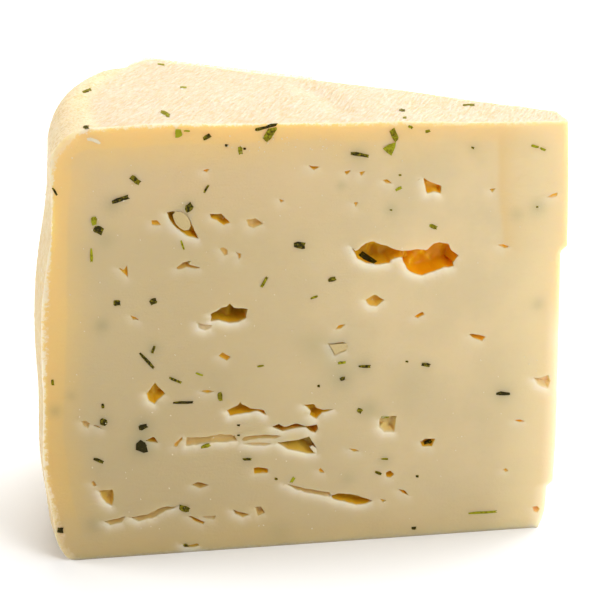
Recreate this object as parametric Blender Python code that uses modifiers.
"""A wedge of a round herb cheese, standing on its bottom rind with its long cut face to the front.

Blender 4.5, metres, +Z up. The wheel is turned about its axis and then cut as a cheesemonger cuts it.
A knife leaves the front and back faces, a third short cut leaves the blunt tip, and the eyes and
cracks that open on the front face are sunk into it. The tip points to +X and the front face to -Y.
"""

import math

import bmesh
import bpy
from mathutils import Euler, Matrix, Vector

MM = 0.001

# Wheel
WHEEL_HEIGHT = 90.7 * MM  # at the crest, the highest ring of the top
WHEEL_RADIUS = 107.2 * MM  # at the belly, the widest ring of the rim
CREST_RADIUS = 82 * MM
BELLY_HEIGHT = 30 * MM
DISH_DEPTH = 2.1 * MM  # the top sinks this much from its crest to the wheel's middle
CREST_FALL = 0.3 * MM  # and this much from its crest to the shoulder
SHOULDER_RADIUS = 7.5 * MM
FOOT_RADIUS = 3.0 * MM
UPPER_LEAN = 2.7 * MM  # how far the rim leans in above the belly
UPPER_LEAN_POWER = 1.2
LOWER_LEAN = 5.7 * MM  # and below it
LOWER_LEAN_POWER = 2.3
TURN_STEPS = 96
PROFILE_STEP = 3.5 * MM
CORNER_STEPS = 5

# Knife cuts
WEDGE_ANGLE = math.radians(37.0)
CUT_MISS = 3.8 * MM  # both long cuts pass this far outside the wheel's axis
TIP_BREAKS = (  # from this height upwards the tip ends this far beyond the wheel's axis
    (-20 * MM, -1.0 * MM),
    (10.5 * MM, 0.2 * MM),
    (62 * MM, 1.2 * MM),
)
KNIFE_REACH = 130 * MM

# Eyes and cracks of the front face, in millimetres and degrees: distance from the tip, height, width,
# thickness, depth and tilt
EYES = (
    (39.6, 62.8, 11.2, 6.6, 8.5, 3),
    (34.3, 61.8, 5.0, 3.4, 6.0, -10),
    (27.9, 60.8, 12.8, 8.2, 9.5, -4),
    (69.4, 51.4, 8.2, 4.6, 4.8, 2),
    (78.9, 70.2, 8.4, 3.8, 3.2, -42),
    (71.4, 71.1, 4.8, 2.6, 2.4, -24),
    (64.4, 70.0, 4.0, 2.2, 2.0, -5),
    (28.0, 76.2, 4.6, 3.2, 2.7, -32),
    (39.3, 52.5, 4.4, 2.9, 2.6, 0),
    (17.5, 43.4, 4.0, 1.9, 2.2, -8),
    (84.3, 35.3, 4.2, 4.8, 2.6, 30),
    (65.6, 30.8, 8.6, 3.0, 3.4, -2),
    (50.5, 29.5, 6.8, 3.2, 3.2, -6),
    (55.5, 26.0, 10.4, 2.5, 3.8, 0),
    (54.5, 22.2, 9.0, 3.6, 3.4, -6),
    (69.4, 24.3, 22.0, 1.9, 1.8, 3),
    (62.6, 17.1, 3.4, 1.7, 2.4, 0),
    (94.4, 13.4, 3.6, 3.6, 2.2, 10),
    (87.5, 9.4, 15.0, 1.9, 1.6, 12),
    (76.0, 7.2, 4.4, 1.8, 2.0, -24),
    (54.5, 12.4, 8.6, 1.8, 2.2, -14),
    (44.0, 10.2, 9.6, 2.1, 3.2, -8),
    (35.9, 25.5, 3.8, 3.8, 1.8, 0),
    (27.2, 20.9, 3.6, 2.2, 2.2, 10),
    (77.7, 61.9, 5.4, 1.9, 1.8, 8),
    (1.4, 32.6, 6.4, 3.0, 2.8, 4),
)
EYE_MOUTH_SHARE = 0.3  # of its depth, how far an eye's widest section lies behind the face
EYE_WAVINESS = 0.14  # largest change of an eye's radius from its plain ball
LARGE_EYE_WIDTH = 8.0
EYE_DETAIL = {"large": 3, "small": 2}  # subdivisions of the ball that an eye is shaped from

PASTE_COLOUR = (0.80, 0.66, 0.40, 1.0)
PASTE_ROUGHNESS = 0.55


def rim_radius(height):
    """The wheel's radius at a height of its side, between its two rounded corners."""
    above = (height - BELLY_HEIGHT) / (WHEEL_HEIGHT - BELLY_HEIGHT)
    if above > 0:
        return WHEEL_RADIUS - UPPER_LEAN * above**UPPER_LEAN_POWER
    below = (BELLY_HEIGHT - height) / BELLY_HEIGHT
    return WHEEL_RADIUS - LOWER_LEAN * below**LOWER_LEAN_POWER


def top_height(radius):
    """The height of the dished top at a distance from the wheel's axis."""
    share = radius / CREST_RADIUS
    if share < 1:
        return WHEEL_HEIGHT - DISH_DEPTH * (1 + math.cos(math.pi * share)) / 2
    beyond = (radius - CREST_RADIUS) / (WHEEL_RADIUS - SHOULDER_RADIUS - CREST_RADIUS)
    return WHEEL_HEIGHT - CREST_FALL * beyond**2


def steps_between(start, end):
    count = max(1, round(abs(end - start) / PROFILE_STEP))
    return [start + (end - start) * i / count for i in range(count)]


def side_slope(height):
    """The angle by which the side leans outwards as it rises, in degrees."""
    step = 0.5 * MM
    return math.degrees(math.atan2(rim_radius(height + step) - rim_radius(height - step), 2 * step))


def corner(centre_radius, centre_height, size, first_angle, last_angle):
    """Points of a round corner, from one angle up from the horizontal to another, in degrees."""
    points = []
    for i in range(CORNER_STEPS + 1):
        angle = math.radians(first_angle + (last_angle - first_angle) * i / CORNER_STEPS)
        points.append((centre_radius + size * math.cos(angle), centre_height + size * math.sin(angle)))
    return points


def wheel_profile():
    """(radius, height) from the top's middle, down the outer side, to the bottom's middle."""
    shoulder_height = WHEEL_HEIGHT - CREST_FALL - SHOULDER_RADIUS
    shoulder_slope = -side_slope(shoulder_height)
    side_top = shoulder_height + SHOULDER_RADIUS * math.sin(math.radians(shoulder_slope))
    shoulder_centre = rim_radius(side_top) - SHOULDER_RADIUS * math.cos(math.radians(shoulder_slope))
    foot_slope = -side_slope(FOOT_RADIUS)
    side_bottom = FOOT_RADIUS + FOOT_RADIUS * math.sin(math.radians(foot_slope))
    foot_centre = rim_radius(side_bottom) - FOOT_RADIUS * math.cos(math.radians(foot_slope))
    points = [(radius, top_height(radius)) for radius in steps_between(0, shoulder_centre)]
    points += corner(shoulder_centre, shoulder_height, SHOULDER_RADIUS, 90, shoulder_slope)
    points += [(rim_radius(height), height) for height in steps_between(side_top, side_bottom)[1:]]
    points += corner(foot_centre, FOOT_RADIUS, FOOT_RADIUS, foot_slope, -90)
    points.append((0, 0))
    return points


def clear_scene():
    for obj in list(bpy.data.objects):
        bpy.data.objects.remove(obj)


def new_collection(name):
    collection = bpy.data.collections.new(name)
    bpy.context.scene.collection.children.link(collection)
    return collection


def mesh_object(name, built, collection):
    """An object from a bmesh, which it frees."""
    mesh = bpy.data.meshes.new(name)
    built.to_mesh(mesh)
    built.free()
    obj = bpy.data.objects.new(name, mesh)
    collection.objects.link(obj)
    return obj


def turned_wheel(collection):
    built = bmesh.new()
    verts = [built.verts.new((radius, 0, height)) for radius, height in wheel_profile()]
    for upper, lower in zip(verts, verts[1:]):
        built.edges.new((upper, lower))
    wheel = mesh_object("cheese_wedge", built, collection)
    screw = wheel.modifiers.new("turn", "SCREW")
    screw.steps = TURN_STEPS
    screw.render_steps = TURN_STEPS
    screw.use_merge_vertices = True
    screw.merge_threshold = 0.1 * MM
    return wheel


def knife(name, outward_angle, distance, collection, low=-KNIFE_REACH, high=KNIFE_REACH):
    """A block that removes what lies beyond a plane at a distance from the wheel's axis."""
    built = bmesh.new()
    bmesh.ops.create_cube(built, size=1.0)
    size = Vector((KNIFE_REACH, 2 * KNIFE_REACH, high - low))
    bmesh.ops.scale(built, vec=size, verts=built.verts)
    place = Vector((distance + KNIFE_REACH / 2, 0, (low + high) / 2))
    bmesh.ops.translate(built, vec=place, verts=built.verts)
    turn = Matrix.Rotation(outward_angle, 3, "Z")
    bmesh.ops.rotate(built, cent=(0, 0, 0), matrix=turn, verts=built.verts)
    return mesh_object(name, built, collection)


def knives(collection):
    """The two long cuts, and the stepped break of the blunt tip."""
    front = knife("cut_front", math.radians(-90), CUT_MISS, collection)
    back = knife("cut_back", math.radians(90) - WEDGE_ANGLE, CUT_MISS, collection)
    tops = [base for base, _ in TIP_BREAKS[1:]] + [KNIFE_REACH]
    tips = []
    for i, ((base, distance), top) in enumerate(zip(TIP_BREAKS, tops)):
        tips.append(knife(f"cut_tip_{i}", 0, distance, collection, base, top))
    return [front, back, *tips]


def eye_cutter(index, eye, collection):
    """A wavy, flattened ball across the front face, with its widest section just inside the cheese."""
    from_tip, height, width, thickness, depth, tilt = eye
    detail = EYE_DETAIL["large" if width > LARGE_EYE_WIDTH else "small"]
    built = bmesh.new()
    bmesh.ops.create_icosphere(built, subdivisions=detail, radius=1.0)
    for vert in built.verts:
        along, inward, up = vert.co
        wave = math.sin(3.1 * along + 1.7 * index) + math.sin(4.3 * up + 2.9 * index + 2.0 * along)
        vert.co *= 1 + EYE_WAVINESS * wave / 2
    size = Vector((width * MM / 2, depth * MM / (1 + EYE_MOUTH_SHARE), thickness * MM / 2))
    bmesh.ops.scale(built, vec=size, verts=built.verts)
    cutter = mesh_object(f"eye_{index}", built, collection)
    cutter.rotation_euler = Euler((0, math.radians(-tilt), 0))
    cutter.location = (-from_tip * MM, -CUT_MISS + size.y * EYE_MOUTH_SHARE, height * MM)
    return cutter


def cut_with(wheel, cutters):
    for cutter in cutters:
        cutter.hide_render = True
        cutter.display_type = "WIRE"
        boolean = wheel.modifiers.new(cutter.name, "BOOLEAN")
        boolean.operation = "DIFFERENCE"
        boolean.solver = "EXACT"
        boolean.object = cutter


def apply_cuts(wheel):
    """Gives the wheel its cut mesh for good, so that its round sides can be shaded smooth."""
    graph = bpy.context.evaluated_depsgraph_get()
    cut = bpy.data.meshes.new_from_object(wheel.evaluated_get(graph))
    wheel.modifiers.clear()
    wheel.data = cut
    cut.shade_smooth()
    cut.set_sharp_from_angle(angle=math.radians(35))


def stand_on_origin(objects):
    """Moves the wheel's axis so that the wedge's box stands on the origin with its bottom's centre."""
    wedge = objects[0]
    lowest = Vector(min(vert.co[i] for vert in wedge.data.vertices) for i in range(3))
    highest = Vector(max(vert.co[i] for vert in wedge.data.vertices) for i in range(3))
    axis = bpy.data.objects.new("wheel_axis", None)
    bpy.context.scene.collection.objects.link(axis)
    for obj in objects:
        obj.parent = axis
    middle = (lowest + highest) / 2
    axis.location = (-middle.x, -middle.y, -lowest.z)


def paste_material():
    material = bpy.data.materials.new("cheese_paste")
    material.use_nodes = True
    shader = material.node_tree.nodes["Principled BSDF"]
    shader.inputs["Base Color"].default_value = PASTE_COLOUR
    shader.inputs["Roughness"].default_value = PASTE_ROUGHNESS
    return material


def main():
    clear_scene()
    cheese = new_collection("herb_cheese_wedge")
    cutters_kept = new_collection("cutters")
    wedge = turned_wheel(cheese)
    cutters = knives(cutters_kept)
    cutters += [eye_cutter(index, eye, cutters_kept) for index, eye in enumerate(EYES)]
    cut_with(wedge, cutters)
    apply_cuts(wedge)
    wedge.data.materials.clear()
    wedge.data.materials.append(paste_material())
    stand_on_origin([wedge, *cutters])


main()
